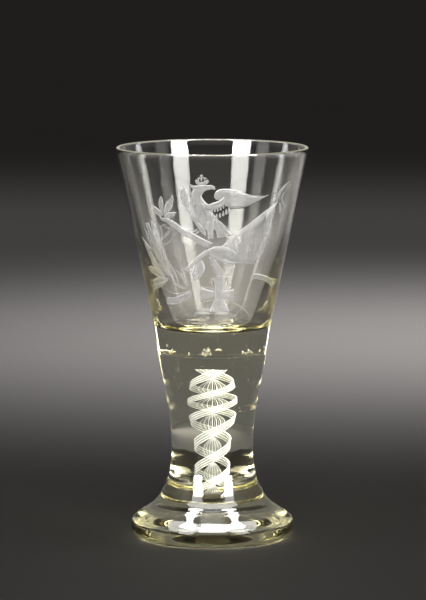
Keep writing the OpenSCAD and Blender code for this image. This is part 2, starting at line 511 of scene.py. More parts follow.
@dataclass(frozen=True)
class EngravedFrost:
    """Matt wheel cuts with painted shading, brighter along their edges and darker in the middle, and fine
    strokes along them. Sizes in millimetres.

    Low on both sides of the bowl, where thick glass lies behind, the frost is painted warmer, for the tint of
    the light that comes through that glass.
    """

    name: str
    cover: float
    edge_cover: float
    # Painted shading: the edge colours are painted light on a hollow cut's rims, the middle colours its
    # painted shade.
    edge: tuple = (0.27, 0.266, 0.255)
    middle: tuple = (0.125, 0.122, 0.115)
    # Painted tint: the warm colours stand for light that reaches the frost through thick olive glass.
    warm_edge: tuple = (0.27, 0.25, 0.143)
    warm_middle: tuple = (0.155, 0.143, 0.075)
    warm_x: tuple = (19.0, 30.0)
    warm_z: tuple = (124.0, 142.0)
    rim_band: tuple = (0.55, 1.0)
    painted_rim_light: float = 0.45
    stroke_light: float = 1.1
    base_light: float = 0.3
    stroke_scale: tuple = (0.8, 9.0, 1.0)
    stroke_cover: float = 0.5
    grain_scale: float = 700.0
    grain_cover: float = 0.25
    rough: float = 0.62
    rough_grain: float = 0.2
    gloss: float = 0.3
    depth: float = 0.1
    depth_share: float = 0.3

    def material(self) -> Material:
        """Frosted skin that shows a part of the glass behind it."""
        g = Graph(self.name)
        uv = g.coordinates("UV")
        where = g.coordinates("Object")
        rim = abs(g.part(uv, "Y") * 2.0 - 1.0).smooth(*self.rim_band)
        stretch = g.node("ShaderNodeVectorMath", {"operation": "MULTIPLY"}, {0: uv, 1: self.stroke_scale})
        strokes = g.noise(stretch.outputs[0], 1.0, 3.0)
        grain = g.noise(where, self.grain_scale, 2.0)
        # Share of the painted warm tint, low on both sides of the bowl.
        beside = abs(g.millimetres(where, "X")).smooth(*self.warm_x)
        painted_tint_share = beside * (1.0 - g.millimetres(where, "Z").smooth(*self.warm_z))
        # Painted shading across each cut, brightest at its edges, plus the lightness of the wheel's strokes.
        light = rim * self.painted_rim_light + (strokes - 0.5) * self.stroke_light + self.base_light
        cool = g.mixed(light, self.middle, self.edge)
        warm = g.mixed(light, self.warm_middle, self.warm_edge)
        lines = self.stroke_cover * (strokes - 0.5) + self.grain_cover * (grain - 0.5)
        skin = g.shader(
            "BsdfPrincipled",
            Base_Color=g.mixed(painted_tint_share, cool, warm),
            Roughness=self.rough + self.rough_grain * grain,
            Specular_IOR_Level=self.gloss,
            Alpha=self.cover + self.edge_cover * rim + lines,
            Normal=g.bump(strokes, self.depth_share, self.depth * MM),
        )
        return g.finish(skin)


@dataclass(frozen=True)
class PaleFloor:
    """Plain pale studio floor."""

    name: str = "pale_floor"
    light: tuple = (0.64, 0.612, 0.597)
    dark: tuple = (0.61, 0.583, 0.57)
    cloud_scale: float = 3.0
    rough: float = 0.75
    rough_cloud: float = 0.1
    gloss: float = 0.2

    def material(self) -> Material:
        """Matt paper with barely visible cloudiness."""
        g = Graph(self.name)
        cloud = g.noise(g.coordinates("Object"), self.cloud_scale, 3.0)
        paper = g.shader(
            "BsdfPrincipled",
            Base_Color=g.mixed(cloud, self.light, self.dark),
            Roughness=self.rough + self.rough_cloud * cloud,
            Specular_IOR_Level=self.gloss,
        )
        return g.finish(paper)


# Pieces


def put_in_scene(name: str, data: bpy.types.ID) -> Object:
    """Object of that name for a mesh, lamp or camera, in the scene."""
    made = bpy.data.objects.new(name, data)
    bpy.context.scene.collection.objects.link(made)
    return made


def add_piece(
    name: str,
    surface: Surface,
    material: Material,
    stands_for: tuple[str, ...] = (),
) -> Object:
    """Puts a surface into the scene as a piece of the goblet.

    Args:
        name: Name of the piece.
        surface: Its shape.
        material: Its finish.
        stands_for: CAD nodes that it replaces.

    Returns:
        The object, riding on the only body.
    """
    mesh = bpy.data.meshes.new(name)
    faces = surface.faces()
    mesh.from_pydata(surface.points.tolist(), [], faces)
    mesh.materials.append(material)
    mesh.polygons.foreach_set("use_smooth", np.ones(len(faces), bool))
    seam = mesh.attributes.new("seam", "FLOAT", "FACE")
    seam.data.foreach_set("value", surface.fused.astype(np.float32))
    if surface.uv is not None:
        layer = mesh.uv_layers.new(name="cut")
        corner = np.zeros(len(mesh.loops), np.int32)
        mesh.loops.foreach_get("vertex_index", corner)
        layer.data.foreach_set("uv", surface.uv[corner].ravel().astype(np.float32))
    mesh.update()
    made = put_in_scene(name, mesh)
    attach(made, "root")
    if stands_for:
        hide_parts(*stands_for)
    LOG.info("%s: %d faces, stands for %s", name, len(faces), ", ".join(stands_for) or "nothing in CAD")
    return made


@dataclass
class Bowl:
    """Funnel bowl with a thick solid base and fine bubbles near its seam.

    Sizes are in millimetres, with heights from the resting ring. A bubble is its angle to the right of the
    front, its distance from the axis, its height over the seam, and its radius.
    """

    seam_z: float = 86.0
    seam_r: float = 25.05
    seam_slope: float = 0.1847
    funnel_z: float = 105.5
    funnel_r: float = 28.3
    top_z: float = 180.0
    lip_r: float = 43.9
    lip_t: float = 1.7
    wall_t: float = 3.2
    bend_z: float = 131.0
    bend_reach: float = 12.0
    bend_pull: float = 0.4
    hollow_r: float = 19.8
    hollow_z: float = 102.9
    floor_r: float = 12.5
    floor_z: float = 97.2
    floor_pull: float = 0.2
    bubbles: tuple = (
        (-12, 20.5, 2.0, 0.7), (-9.5, 20.8, 3.6, 0.8), (-8.5, 20.2, 1.6, 0.9), (-5.5, 20.6, 2.6, 1.1),
        (-5, 20.2, 4.2, 0.6), (-2.5, 20.4, 1.9, 0.8), (-3, 20.7, 3.7, 0.5), (-60, 22, 4.4, 0.6),
        (-53, 21, 2.6, 0.9), (-54, 21.2, 1.0, 0.5), (-29, 20.5, 1.6, 0.8), (38, 20.6, 2.2, 0.8),
        (42, 20.9, 1.5, 0.6), (47, 20.5, 2.4, 1.0), (51, 20.8, 1.7, 0.5), (66, 21.5, 1.8, 0.7),
        (75, 22.4, 2.9, 0.6), (76, 22.2, 0.9, 0.5), (100, 20, 1.4, 0.8), (124, 20.6, 1.9, 0.7),
        (149, 20.2, 1.5, 0.9), (177, 20.5, 2.1, 0.7), (201, 20.1, 1.3, 0.8), (226, 20.7, 1.8, 0.6),
        (251, 20.3, 1.5, 0.9),
    )
    columns: int = 192

    @property
    def funnel_slope(self) -> float:
        """Radius over height of the straight outer side."""
        return (self.lip_r - self.funnel_r) / (self.top_z - self.funnel_z)

    def outside(self) -> np.ndarray:
        """Outer side from the seam to the lip, a curve and then a straight line."""
        third = (self.funnel_z - self.seam_z) / 3
        funnel = (self.funnel_r, self.funnel_z)
        low = bezier(
            (self.seam_r, self.seam_z),
            (self.seam_r + self.seam_slope * third, self.seam_z + third),
            (self.funnel_r - self.funnel_slope * third, self.funnel_z - third),
            funnel,
            steps=20,
        )
        return join(low, straight(funnel, (self.lip_r, self.top_z - self.lip_t / 2), steps=30))

    def radius_at(self, z: np.ndarray) -> np.ndarray:
        """Outer radius at a height."""
        line = self.outside()
        return np.interp(z, line[:, 1], line[:, 0])

    def inside(self) -> np.ndarray:
        """Inner side from the lip to the middle of the hollow's floor."""
        top = np.array([self.lip_r - self.lip_t, self.top_z - self.lip_t / 2])
        bend = np.array([self.radius_at(self.bend_z) - self.wall_t, self.bend_z])
        hollow = np.array([self.hollow_r, self.hollow_z])
        slope = (bend[0] - self.hollow_r) / (self.bend_z - self.hollow_z)
        up = np.array([(top[0] - bend[0]) / (top[1] - self.bend_z), 1]) * self.bend_reach
        down = np.array([slope, 1]) * self.bend_reach
        rise = self.hollow_z - self.floor_z
        pull = self.bend_pull
        return join(
            straight(top, bend + up, steps=16),
            bezier(bend + up, bend + up * pull, bend - down * pull, bend - down, steps=16),
            straight(bend - down, hollow, steps=8),
            bezier(
                hollow,
                hollow - np.array([slope, 1]) * rise / 2,
                ((self.hollow_r + self.floor_r) / 2 + rise * self.floor_pull, self.floor_z),
                (self.floor_r, self.floor_z),
                steps=24,
            ),
            straight((self.floor_r, self.floor_z), (0, self.floor_z), steps=4),
        )

    def outline(self) -> np.ndarray:
        """Whole outline, up the outside from the seam, over the lip and down the inside."""
        half = self.lip_t / 2
        seam = straight((0, self.seam_z), (self.seam_r, self.seam_z), steps=2)
        lip = arc((self.lip_r - half, self.top_z - half), half, 0, 180, steps=14)
        return join(seam, held(self.outside()), lip, self.inside())

    def build(self, glass: Material) -> Object:
        """Makes the bowl, with its seam face fused to the stem."""
        body = revolved(self.outline(), self.columns, fused=(0, 1))
        surface = body.joined(voids(self.bubbles, self.seam_z))
        return add_piece("clear_bowl", surface, glass, ("bowl",))


@dataclass
class Stem:
    """Solid stem between the foot and the bowl. Sizes in millimetres, seeds in the form of the bubbles."""

    low_z: float = 22.0
    low_r: float = 22.8
    high_z: float = 86.0
    high_r: float = 25.05
    high_slope: float = 0.1847
    waist_z: float = 42.0
    waist_r: float = 18.7
    flare_pull: float = 0.32
    seam_gap: float = 0.02
    seeds: tuple = (
        (-44, 21, 57.6, 0.25), (45, 21, 60.8, 0.22), (-47, 20, 49.6, 0.28), (-42, 19.5, 51.4, 0.2),
        (50, 20, 52.8, 0.25), (40, 18.5, 39.8, 0.22), (41, 18.2, 38.2, 0.18), (140, 20, 55, 0.25),
        (200, 19, 47, 0.2),
    )
    columns: int = 160

    def outline(self) -> np.ndarray:
        """Lower seam face, flare, waist, taper and upper seam face."""
        low = (self.low_r, self.low_z + self.seam_gap)
        high = (self.high_r, self.high_z - self.seam_gap)
        waist = (self.waist_r, self.waist_z)
        drop = self.waist_z - self.low_z
        reach = (self.high_z - self.waist_z) / 3
        flare = bezier(
            low,
            (self.waist_r + (self.low_r - self.waist_r) * self.flare_pull, self.low_z + drop / 4),
            (self.waist_r, self.low_z + drop / 2),
            waist,
            steps=32,
        )
        taper = bezier(
            waist,
            (self.waist_r, self.waist_z + reach),
            (self.high_r - self.high_slope * reach, self.high_z - reach),
            high,
            steps=40,
        )
        wall = held(join(flare, taper))
        wall = held(wall[::-1])[::-1]
        return join(straight((0, low[1]), low, steps=2), wall, straight(high, (0, high[1]), steps=2))

    def build(self, glass: Material) -> Object:
        """Makes the stem, fused to the foot below and to the bowl above."""
        body = revolved(self.outline(), self.columns, fused=(0, 1, -2, -1))
        surface = body.joined(voids(self.seeds, self.low_z))
        return add_piece("clear_stem", surface, glass, ("stem", "core_half_a", "core_half_b"))


@dataclass
class Foot:
    """Flared foot with a rounded edge and a shallow hollow below. Sizes in millimetres, pulls as shares."""

    top_z: float = 22.0
    top_r: float = 22.8
    edge_z: float = 6.4
    edge_r: float = 37.6
    edge_pull: tuple = (0.75, 0.32)
    flare_pull: tuple = (0.34, 0.76, 0.6)
    rest_r: float = 33.8
    rest_w: float = 3.0
    kick_h: float = 2.4
    kick_pull: tuple = (0.4, 0.8, 0.25)
    ripple_r: tuple = (24.0, 30.5)
    ripple_w: float = 2.1
    ripple_h: float = 0.05
    columns: int = 192

    def rippled(self, flare: np.ndarray) -> np.ndarray:
        """Flare with faint rings left by the tool.

        A point at radius r moves down by the ripple's height times the sine of the turns of r over the
        ripple's width, and less towards both ends of the ringed stretch.

        Args:
            flare: Radius and height, by point.

        Returns:
            The same points, moved.
        """
        low, high = self.ripple_r
        share = ((flare[:, 0] - low) / (high - low)).clip(0, 1)
        wave = np.sin(2 * np.pi * flare[:, 0] / self.ripple_w) * np.sin(np.pi * share) ** 2
        return flare - np.stack([np.zeros(len(flare)), self.ripple_h * wave], axis=1)

    def outline(self) -> np.ndarray:
        """Hollow below, resting ring, rounded edge, flare and seam face."""
        inner = self.rest_r - self.rest_w
        near, far, low = self.kick_pull
        high = self.kick_h
        under = bezier((0, high), (inner * near, high), (inner * far, high * low), (inner, 0), steps=24)
        edge = bezier(
            (self.rest_r, 0),
            (self.rest_r + (self.edge_r - self.rest_r) * self.edge_pull[0], 0),
            (self.edge_r, self.edge_z * self.edge_pull[1]),
            (self.edge_r, self.edge_z),
            steps=24,
        )
        rise = self.top_z - self.edge_z
        up, inwards, down = self.flare_pull
        flare = bezier(
            (self.edge_r, self.edge_z),
            (self.edge_r, self.edge_z + rise * up),
            (self.edge_r - (self.edge_r - self.top_r) * inwards, self.top_z - rise * down),
            (self.top_r, self.top_z),
            steps=120,
        )
        ring = straight((inner, 0), (self.rest_r, 0), steps=3)
        seam = straight((self.top_r, self.top_z), (0, self.top_z), steps=2)
        return join(under, ring, edge, held(self.rippled(flare)[::-1])[::-1], seam)

    def build(self, glass: Material) -> Object:
        """Makes the foot, with its top face fused to the stem."""
        surface = revolved(self.outline(), self.columns, fused=(-2, -1))
        return add_piece("clear_foot", surface, glass, ("foot",))


@dataclass
class Twist:
    """White threads inside the stem, each along the path of its own CAD node. Sizes in millimetres."""

    band_threads: int = 7
    band_angle: float = 56.0
    band_t: float = 0.5
    band_fill: float = 0.66
    tape_threads: int = 13
    tape_t: float = 0.36
    tape_fill: float = 0.38
    # Darker whites for every second thread: painted shade that stands for the shaded gaps between threads.
    dim: tuple = (0.36, 0.36, 0.33)
    dimmer: tuple = (0.25, 0.25, 0.23)
    steps: int = 5
    sides: int = 10

    def path(self, node: str) -> np.ndarray:
        """Middle line of a thread, the mean of the points that its CAD node has at each height."""
        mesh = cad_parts[node].data
        flat = np.zeros(len(mesh.vertices) * 3)
        mesh.vertices.foreach_get("co", flat)
        points = np.unique(np.round(flat.reshape(-1, 3), 6), axis=0)
        heights, index = np.unique(np.round(points[:, 2], 5), return_inverse=True)
        count = np.bincount(index)
        middle = [np.bincount(index, points[:, k]) / count for k in range(2)]
        return finer(np.stack([*middle, heights], axis=1), self.steps)

    def thread(self, node: str, white: Material, tape: np.ndarray | None = None) -> Object:
        """Makes one thread, whose section is an oval that lies along its band or along the tape.

        Args:
            node: CAD node that it stands for.
            white: Its finish.
            tape: Path of the tape's edge, for a thread of the tape.

        Returns:
            The thread.
        """
        path = self.path(node)
        flat = (path if tape is None else tape) * (1, 1, 0)
        reach = np.linalg.norm(flat, axis=1, keepdims=True)
        out = flat / reach
        along = np.stack([-out[:, 1], out[:, 0], out[:, 2]], axis=1)
        if tape is None:
            gap = math.radians(self.band_angle / (self.band_threads - 1))
            half_out, half_along = self.band_t / 2 * MM, reach * gap * self.band_fill / 2
        else:
            half_out, half_along = reach / (self.tape_threads - 1) * self.tape_fill, self.tape_t / 2 * MM
        surface = tube(path, out * half_out, along * half_along, self.sides)
        return add_piece("white_" + node, surface, white, (node,))

    def build(self, white: WhiteGlass) -> list[Object]:
        """Makes both outer bands and the tape, with every second thread in a darker copy of the white, as
        painted shade between threads.
        """
        # The second finish is a darker copy of the white, without glow: painted shade between threads.
        finishes = (white.material(), WhiteGlass("white_thread_painted_shade", self.dim, self.dimmer, 0.0).material())
        made = [
            self.thread(f"band_{band}_thread_{i + 1}", finishes[i % 2])
            for band in "ab"
            for i in range(self.band_threads)
        ]
        tape = self.path(f"tape_thread_{self.tape_threads}")
        return made + [
            self.thread(f"tape_thread_{i + 1}", finishes[i % 2], tape) for i in range(self.tape_threads)
        ]


# Engraving


class Cut(Enum):
    """Outline of one wheel cut along its length."""

    LEAF = "pointed at both ends"
    TEAR = "round at its start and pointed at its end"
    BAR = "as wide all along, with blunt ends"

    def width(self, u: np.ndarray, least: float = 0.03) -> np.ndarray:
        """Share of the full width at each place along the cut, from 0 to 1.

        A leaf is a half wave, a tear is a half wave drawn towards its start, and a bar is a flat curve that
        drops at both ends.

        Args:
            u: Places along the cut.
            least: Smallest share.

        Returns:
            The shares.
        """
        if self is Cut.LEAF:
            share = np.sin(np.pi * u) ** 0.75
        elif self is Cut.TEAR:
            share = np.sin(np.pi * u**0.55).clip(0) ** 0.8
        else:
            share = np.sqrt(1 - (2 * u - 1) ** 10)
        return np.maximum(share, least)


@dataclass(frozen=True)
class Motif:
    """One figure of the engraving, drawn as the camera sees it, in pixels across and down the picture.

    A cut is its start, its end, its bend to the left as a share of its length, and its width. A field is the
    points of one edge and the points of the edge across from it. The cover is the share of the glass behind
    that the figure hides, and its edges hide the edge cover more.
    """

    name: str
    cover: float
    edge_cover: float = 0.4
    leaves: tuple = ()
    tears: tuple = ()
    bars: tuple = ()
    fields: tuple = ()


EAGLE = Motif(
    "engraved_eagle",
    cover=0.52,
    edge_cover=0.28,
    leaves=(
        (197.4, 184, 196.2, 179.4, 0.1, 1.6), (207, 184, 208, 179.6, -0.1, 1.6),
        (199.4, 182.6, 199.8, 178.6, 0.25, 1.3), (204.2, 182.6, 203.6, 178.6, -0.25, 1.3),
        (196.8, 180.2, 201.6, 179, 0.3, 1.2), (201.6, 179, 207.4, 180.2, 0.3, 1.2),
        (181.2, 192, 189.8, 212.6, -0.1, 0.9), (191.2, 200.6, 189.2, 205.6, 0, 1.2),
        (193, 201.2, 191.2, 206.2, 0, 1.2), (194.9, 201.6, 193.8, 206.6, 0, 1.2),
        (196.8, 201.6, 196.6, 206.4, 0, 1.2), (198.6, 201.2, 199.2, 205.6, 0, 1.2),
        (192.4, 197.6, 190.2, 200.6, 0, 1), (226, 193.6, 266, 196, 0, 0.8),
        (226.5, 196.2, 261, 198.6, 0, 0.8), (227.5, 199, 256, 201, 0, 0.8),
        (228.5, 201.8, 251, 203.6, 0, 0.8), (230, 204.6, 246, 206, 0, 0.8),
        (218, 190, 240, 191.6, 0.02, 0.9), (215, 193.5, 217.5, 200, -0.2, 0.9),
        (217.8, 219.2, 235, 236, 0, 1.2), (202.6, 225, 207.4, 234, -0.06, 0.9),
    ),
    tears=(
        (183, 203.5, 181.6, 188.5, 0.06, 1.4), (186, 207, 183.8, 188.6, 0.06, 1.4),
        (188.6, 208, 186, 191.5, 0.06, 1.4), (212.2, 211.4, 212.6, 208.6, 0, 1.5),
        (214.9, 212, 215.3, 208.8, 0, 1.6), (217.7, 211.6, 218.1, 208.2, 0, 1.7),
        (220.6, 210.4, 221, 206.8, 0, 1.7), (223.4, 208.6, 223.8, 205, 0, 1.7),
        (226, 206.4, 226.2, 202.8, 0, 1.6), (228, 203.8, 228, 200.4, 0, 1.5),
        (210.4, 216.8, 210.6, 213, 0, 1.7), (213.4, 218, 213.8, 213.4, 0, 2),
        (216.6, 218.4, 217, 213.2, 0, 2.1), (220, 217.8, 220.2, 212.4, 0, 2.2),
        (223.2, 216.4, 223.4, 210.8, 0, 2.3), (226.4, 214.6, 226.4, 208.6, 0, 2.3),
        (229.2, 212.8, 229, 206.6, 0, 2.2), (216, 222, 220.6, 239.6, 0.02, 2.6),
        (217, 221.6, 224.4, 239.8, 0.02, 2.4), (218, 221.2, 227.8, 240.2, 0.02, 2.4),
        (218.6, 220.8, 231.4, 238.6, 0.02, 2.2), (197.6, 229.4, 191.6, 232.4, 0.1, 2),
        (199.4, 231, 194, 234.4, 0.1, 1.8), (204, 232, 205.4, 236.4, 0, 1.8),
        (209.6, 233, 208.6, 240.6, 0.05, 2), (212.8, 233, 213.4, 239.4, -0.05, 1.8),
    ),
    bars=(
        (201.6, 181, 201.6, 174.4, 0, 1.4), (199.9, 175.9, 203.3, 175.9, 0, 1.2),
    ),
    fields=(
        ((189.8, 184, 193.5, 185.8, 198, 185.4, 206, 185.2, 211, 185.3, 214, 186.3, 215.4, 188),
         (190.6, 186.6, 193.2, 189.6, 197, 190.4, 203, 190.5, 208, 190.3, 212.5, 189.4, 215.2, 190.4)),
        ((193.4, 189.4, 191.2, 194, 191.6, 197, 190, 200.5, 190.3, 206),
         (206.5, 190.3, 203, 193.5, 202, 196.5, 203.6, 199.6, 207.5, 204)),
        ((190.2, 204, 190.4, 210, 191.4, 216, 193.4, 221, 197, 226, 200, 230),
         (207.2, 203.4, 211, 207.5, 213, 213, 217.4, 219.5, 215.5, 226, 213.8, 231)),
        ((184, 186.2, 181.5, 188.5, 180.3, 192, 180.6, 198, 183.2, 204, 187, 210, 190.4, 214),
         (184.6, 186.4, 186.2, 190, 188.2, 195, 189.5, 199, 190.2, 206, 191.2, 213)),
        ((214.2, 195.4, 215.8, 191.8, 219, 189.6, 223, 189, 231, 189, 240, 191.4, 248, 194.4, 256, 196.6,
          263, 196.4, 268.8, 194.6),
         (214.4, 196, 216.4, 199.2, 220, 201.4, 225, 204.4, 230, 208.4, 237, 209, 244, 207.6, 251, 204.6,
          259, 200.4, 268.6, 195.2)),
        ((206, 203.5, 209.5, 204.2, 213, 202.8, 219, 201, 224, 197),
         (205.5, 209, 212, 210.4, 218, 209, 223.5, 206, 229, 201.5)),
        ((197.2, 184.9, 199, 185.1, 203, 185.1, 207, 184.9),
         (196.6, 180.2, 199.6, 182, 203, 182, 207.6, 180.2)),
        ((213.4, 220.5, 214.5, 228, 216.5, 233, 217.5, 238),
         (218, 219.2, 223, 225.5, 229, 231.5, 234.4, 235.6)),
        ((195, 223, 196.5, 226, 199.5, 230, 203.2, 234.6),
         (199.5, 223, 201.5, 226, 204.5, 230, 206.6, 235.6)),
        ((207, 222, 207.2, 229, 207.8, 234, 208.2, 239), (213.8, 222, 213.6, 229, 213.4, 234, 213.8, 238.6)),
    ),
)

STAFFS = Motif(
    "engraved_staffs",
    cover=0.4,
    leaves=(
        (152, 205, 161, 216, -0.08, 0.9), (161.2, 197.5, 162.2, 214, 0.04, 0.9),
        (172.4, 196.5, 165.4, 214, -0.1, 0.9), (175.6, 213.2, 165.5, 217.6, 0.08, 0.9),
        (166, 218.4, 213, 243.8, -0.03, 1.1), (164.4, 220, 206, 247.6, -0.02, 1),
        (168, 221.5, 196, 239, -0.02, 0.9), (209, 250, 185, 270.4, 0.03, 0.9),
        (209.4, 257.4, 217.2, 277, 0, 0.9), (215.6, 260.6, 223.6, 273, 0.04, 0.9),
        (203, 261.5, 199.6, 279, -0.2, 0.9), (195.8, 262, 194, 280, 0.16, 0.9),
        (253.8, 274.2, 272.4, 279.6, 0.04, 1), (273.2, 192.4, 280.4, 200.6, 0.1, 2.2),
        (280.6, 192.6, 273.6, 200.8, 0.1, 2.2), (275.2, 190.8, 277.8, 203.4, 0, 1.6),
        (279.4, 202, 279.8, 214.4, 0.06, 2.4), (282.4, 197.6, 285.2, 206.6, -0.12, 1.6),
    ),
    tears=(
        (270.6, 279.4, 277.2, 280.2, 0.05, 1.5), (270.6, 280.8, 277, 282.6, 0, 1.5),
        (270.4, 282, 276.2, 285, 0, 1.5), (270, 283, 274.6, 287.4, 0, 1.5),
        (269.4, 283.8, 272.4, 288, 0, 1.4), (278, 196, 291.8, 179.6, 0.06, 3),
        (281.6, 199, 286.6, 190, 0.1, 1.8),
    ),
    bars=(
        (216.8, 277, 224, 276.6, 0, 1.2),
    ),
    fields=(
        ((151, 204.4, 156, 207, 160.5, 211, 163.5, 215.5),
         (151.4, 206, 154, 210.8, 157, 214.6, 160.8, 217.4)),
        ((160.6, 196.2, 158.8, 202, 159.6, 208, 161.6, 214.6),
         (161.6, 196.2, 163.2, 200.5, 163.6, 207, 163.4, 214.6)),
        ((172, 194.8, 169.5, 200, 165.2, 204.8, 163.6, 214.6),
         (172.8, 194.8, 173.6, 200, 171.8, 208, 167.2, 214.6)),
        ((176.4, 212.2, 172, 212.2, 168, 213, 164, 216), (175.8, 214.2, 172.6, 217.4, 169, 219, 165, 219.4)),
        ((159.4, 215.4, 162, 217.6, 166, 218.2, 170, 218.6),
         (160, 217.8, 162, 220.4, 165.4, 221.8, 169, 222)),
        ((166, 217.4, 175, 222, 183, 228, 191, 231.4, 200, 237, 213, 243.4),
         (163.4, 220.6, 172, 226.2, 180, 232.2, 188, 237.6, 196, 242, 207, 248.6)),
        ((206.5, 249.6, 200, 254.4, 194, 260, 184.6, 269.6),
         (209.6, 253.4, 203, 258.4, 197, 263.6, 186.8, 272.2)),
        ((209, 257, 213, 265, 216.6, 272, 217.4, 277.2),
         (215.4, 260.4, 219, 266, 223.2, 270.4, 223.8, 276.6)),
        ((196, 261.6, 193, 267.5, 191.8, 273.5, 194.4, 280.4),
         (202.6, 260.6, 205.2, 267, 203.6, 274, 198.6, 279.6)),
        ((253.6, 273.6, 260, 274, 266, 275.8, 272.6, 279),
         (253.8, 279.4, 259, 280.2, 265, 281.8, 271, 285.4)),
    ),
)

BANNER = Motif(
    "engraved_banner",
    cover=0.24,
    edge_cover=0.3,
    leaves=(
        (221.6, 245.8, 278, 201.2, 0, 1.2), (223, 248, 266, 213.6, 0, 0.8),
        (231, 248.6, 238.6, 258, -0.1, 1.4), (240.2, 244, 238, 258.6, -0.06, 1.2),
        (234.4, 240, 232.8, 250.6, 0.06, 1), (247, 240.6, 244.6, 261.4, 0.05, 1),
        (256, 231, 251.4, 261, 0.04, 0.9), (264, 221, 258, 259.4, 0.04, 0.9),
        (272.6, 207.6, 263.4, 250, 0.02, 1.2), (263.4, 250, 257.8, 262, -0.05, 1),
        (207, 251, 240.6, 262.4, -0.12, 1), (213, 254.6, 232, 263.8, -0.08, 0.9),
        (243, 262.6, 257.6, 262, -0.08, 1.2), (222.4, 263, 232.6, 266, 0.06, 0.9),
    ),
    fields=(
        ((222, 246.2, 236, 234, 250, 223, 264, 212, 277.4, 201.6),
         (221.4, 257, 233, 261.6, 245, 262.6, 256, 260, 267.6, 238)),
        ((222, 246.2, 230, 239.4, 238, 232.6), (222.6, 256.6, 230, 260.4, 239.4, 262)),
        ((206.6, 250.6, 213, 247, 222, 246.4, 231, 249, 240, 257.4),
         (211.4, 258.6, 217.6, 261, 224.4, 263.4, 232, 264.6, 244, 262.8)),
        ((267, 212.6, 272, 207.4, 278, 201.6), (258.4, 261, 263.6, 250, 272.4, 210.4)),
    ),
)

CROSS = Motif(
    "engraved_cross",
    cover=0.38,
    edge_cover=0.16,
    leaves=(
        (211.2, 278, 228.4, 278.2, 0, 1), (209.2, 311.6, 230, 311.3, 0, 1.2),
        (211.2, 278, 215.2, 291, -0.08, 0.9), (228.2, 278.2, 223.6, 291, 0.08, 0.9),
        (201, 286.4, 217, 291, 0.06, 0.9), (201, 301.4, 217, 298.2, -0.06, 0.9),
        (201, 286.4, 201, 301.4, 0, 0.9), (215.6, 298, 209.2, 311.6, -0.05, 0.9),
        (223.4, 298, 230, 311.4, 0.05, 0.9), (226, 300.8, 251, 319, 0.12, 1.3),
        (223, 290.6, 234.3, 288.6, -0.04, 0.7), (223, 298.4, 234.3, 300.6, 0.04, 0.7),
    ),
    fields=(
        ((211.2, 278, 214.4, 283, 215.2, 287, 215.2, 291),
         (228.2, 278.2, 224.8, 283, 223.6, 287, 223.6, 291)),
        ((201, 286.6, 207, 289.2, 212, 290.4, 217, 291), (201, 301.2, 207, 299.4, 212, 298.6, 217, 298.2)),
        ((215.2, 290.4, 215.4, 294, 215.2, 298.6), (223.6, 290.4, 223.4, 294, 223.6, 298.6)),
        ((215.6, 298, 213.8, 303, 211.8, 307, 209.4, 311.6),
         (223.4, 298, 225.2, 303, 227.2, 307, 229.8, 311.4)),
        ((223, 290.8, 226.9, 290.6, 230.6, 289.9, 234.3, 288.8),
         (223, 298.2, 226.9, 298.7, 230.6, 299.5, 234.3, 300.4)),
    ),
)

SPRAYS = Motif(
    "engraved_sprays",
    cover=0.28,
    edge_cover=0.24,
    leaves=(
        (141.8, 235.6, 153.4, 249.4, -0.06, 1.6), (142.4, 238, 156, 252, -0.05, 1.2),
        (147, 225, 160, 258, -0.03, 0.9), (152, 222.6, 160, 250, -0.04, 1.1),
        (144.6, 228, 152, 246, 0.02, 1.5), (149, 240, 163, 270, 0.02, 1.1), (154, 250, 168, 275, 0.03, 1.2),
        (151.6, 254.4, 156.6, 257, 0.3, 1), (160.4, 246, 164.6, 262, -0.05, 1.1),
        (148.6, 267.4, 164, 278.2, -0.08, 1.3), (152.8, 281.4, 168.4, 279, 0.06, 1.3),
        (154.8, 290, 168.6, 280.2, 0.05, 1.3), (153.4, 283.4, 160, 284.4, -0.1, 1.4),
        (151.6, 260.6, 165.6, 277, -0.06, 2.2), (157.4, 262, 169.4, 277.4, 0.04, 2),
        (162.6, 264.6, 175.6, 282.6, 0.04, 2), (168.2, 261, 179.6, 284.6, 0.04, 2.2),
        (175, 268.6, 187.6, 287.4, 0.06, 2), (180.6, 264.4, 187.4, 286, 0.04, 1.8),
        (172.8, 279.6, 187, 288.4, -0.1, 1.6), (171.6, 282, 186, 289.6, -0.06, 1.3),
        (184.8, 272, 188.6, 286, -0.05, 1.2), (167.4, 291, 191.6, 289, -0.14, 1.2),
        (166.6, 303.8, 192.2, 294.8, -0.13, 1.4), (170, 297.6, 190.6, 292.6, -0.06, 1),
        (169.2, 260.6, 170.4, 264.4, 0, 1.4), (157.6, 222.4, 161.2, 243.6, 0.14, 1.3),
        (163.6, 223, 170.6, 228.4, -0.2, 1.1), (170.8, 228.2, 160.6, 240.6, 0.08, 1.5),
        (158.8, 230, 168.6, 224.4, 0.16, 1), (160.6, 243.8, 171.6, 238.8, -0.22, 1.3),
        (164, 236, 169.6, 231, 0.1, 0.9),
    ),
    fields=(
        ((145.4, 223, 150, 236, 157, 254, 168.8, 276), (148.6, 222.4, 154.4, 236, 161.4, 254, 170.2, 275.2)),
        ((150.4, 221, 154.4, 232, 157.4, 244, 161.6, 256),
         (153.4, 221.4, 158.2, 232, 160.4, 244, 162.6, 256)),
        ((144.6, 243, 148.8, 254, 154, 264, 164.6, 277), (146.6, 242.4, 152.6, 254, 158.6, 265, 166, 276.4)),
        ((148.6, 266.6, 152, 266, 157.6, 270, 164.6, 277.6),
         (149.4, 269.2, 153, 273.2, 158, 276.8, 164, 278.4)),
        ((152.6, 280.4, 157, 277.6, 162, 277.4, 168.6, 278.4),
         (153.6, 282.6, 158, 282.6, 163, 281.4, 168.4, 279.6)),
        ((153.6, 283.4, 158, 283, 163, 281.6, 168.4, 279.8),
         (155.2, 290.6, 159.4, 288, 164, 284.6, 168.8, 280.4)),
        ((167.4, 297.2, 174.2, 297.4, 182, 294.4, 191.6, 290.4),
         (166.6, 303.8, 175, 303.8, 183, 300.6, 192.2, 294.6)),
    ),
)


